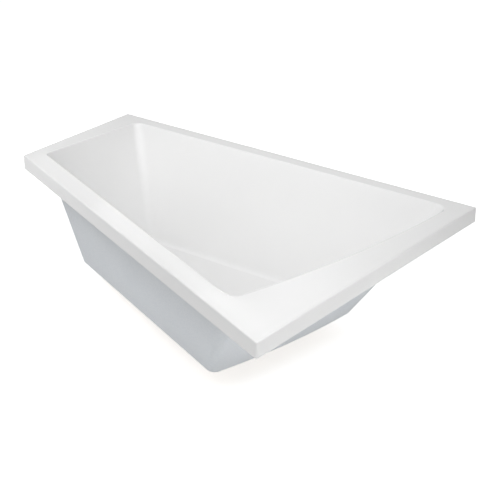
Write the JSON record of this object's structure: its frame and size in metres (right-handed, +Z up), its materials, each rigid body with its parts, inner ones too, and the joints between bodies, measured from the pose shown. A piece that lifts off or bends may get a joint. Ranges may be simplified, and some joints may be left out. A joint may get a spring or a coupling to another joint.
{
  "type": "asymmetric bathtub",
  "caption": "Built-in acrylic bathtub with a trapezoidal flat rim, a sloping backrest at the wide end, a grey reinforced underside, a push-open floor waste and levelling feet.",
  "frame": {"origin": "on the floor, under the middle of the rim's bounding rectangle", "axes": "+Z up, +X along the long back side towards the wide end, +Y towards the back side"},
  "size_m": [1.8, 1.3975, 0.6],
  "materials": {
    "acrylic": "gloss",
    "fibre_skin": "satin",
    "plywood": "matte",
    "chrome": "polished",
    "rubber": "matte",
    "drain_plastic": "satin",
    "pipe_plastic": "satin",
    "brass": "satin",
    "galvanised": "satin",
    "zinc": "satin",
    "foot_plastic": "matte"
  },
  "bodies": {
    "tub": {"tub_shell": "acrylic", "reinforcement_skin": "fibre_skin", "base_board": "plywood", "rim_batten_front": "plywood", "rim_batten_wide_end": "plywood", "rim_batten_back": "plywood", "rim_batten_narrow_end": "plywood", "waste_flange": "chrome", "flange_seal": "rubber", "body_seal": "rubber", "waste_body": "drain_plastic", "dip_tube": "drain_plastic", "trap_bowl": "drain_plastic", "bowl_seal": "rubber", "click_cartridge": "brass", "outlet_pipe": "pipe_plastic", "outlet_seal": "rubber", "outlet_nut": "drain_plastic", "foot_rail_narrow": "galvanised", "foot_rail_wide": "galvanised", "rail_screws": "zinc", "rail_nuts": "zinc", "lock_nuts": "zinc"},
    "plug": {"plug_cap": "chrome", "plug_seal": "rubber", "plug_stem": "brass"},
    "foot_a": {"foot_spindle_a": "zinc", "foot_pad_a": "foot_plastic"},
    "foot_b": {"foot_spindle_b": "zinc", "foot_pad_b": "foot_plastic"},
    "foot_c": {"foot_spindle_c": "zinc", "foot_pad_c": "foot_plastic"},
    "foot_d": {"foot_spindle_d": "zinc", "foot_pad_d": "foot_plastic"}
  },
  "joints": [
    {"name": "plug_lift", "type": "slide", "parent": "tub", "child": "plug", "axis": [0, 0, 1], "range_m": [0, 0.01]},
    {"name": "foot_a_height", "type": "slide", "parent": "tub", "child": "foot_a", "axis": [0, 0, -1], "range_m": [-0.016, 0]},
    {"name": "foot_b_height", "type": "slide", "parent": "tub", "child": "foot_b", "axis": [0, 0, -1], "range_m": [-0.016, 0]},
    {"name": "foot_c_height", "type": "slide", "parent": "tub", "child": "foot_c", "axis": [0, 0, -1], "range_m": [-0.016, 0]},
    {"name": "foot_d_height", "type": "slide", "parent": "tub", "child": "foot_d", "axis": [0, 0, -1], "range_m": [-0.016, 0]}
  ]
}
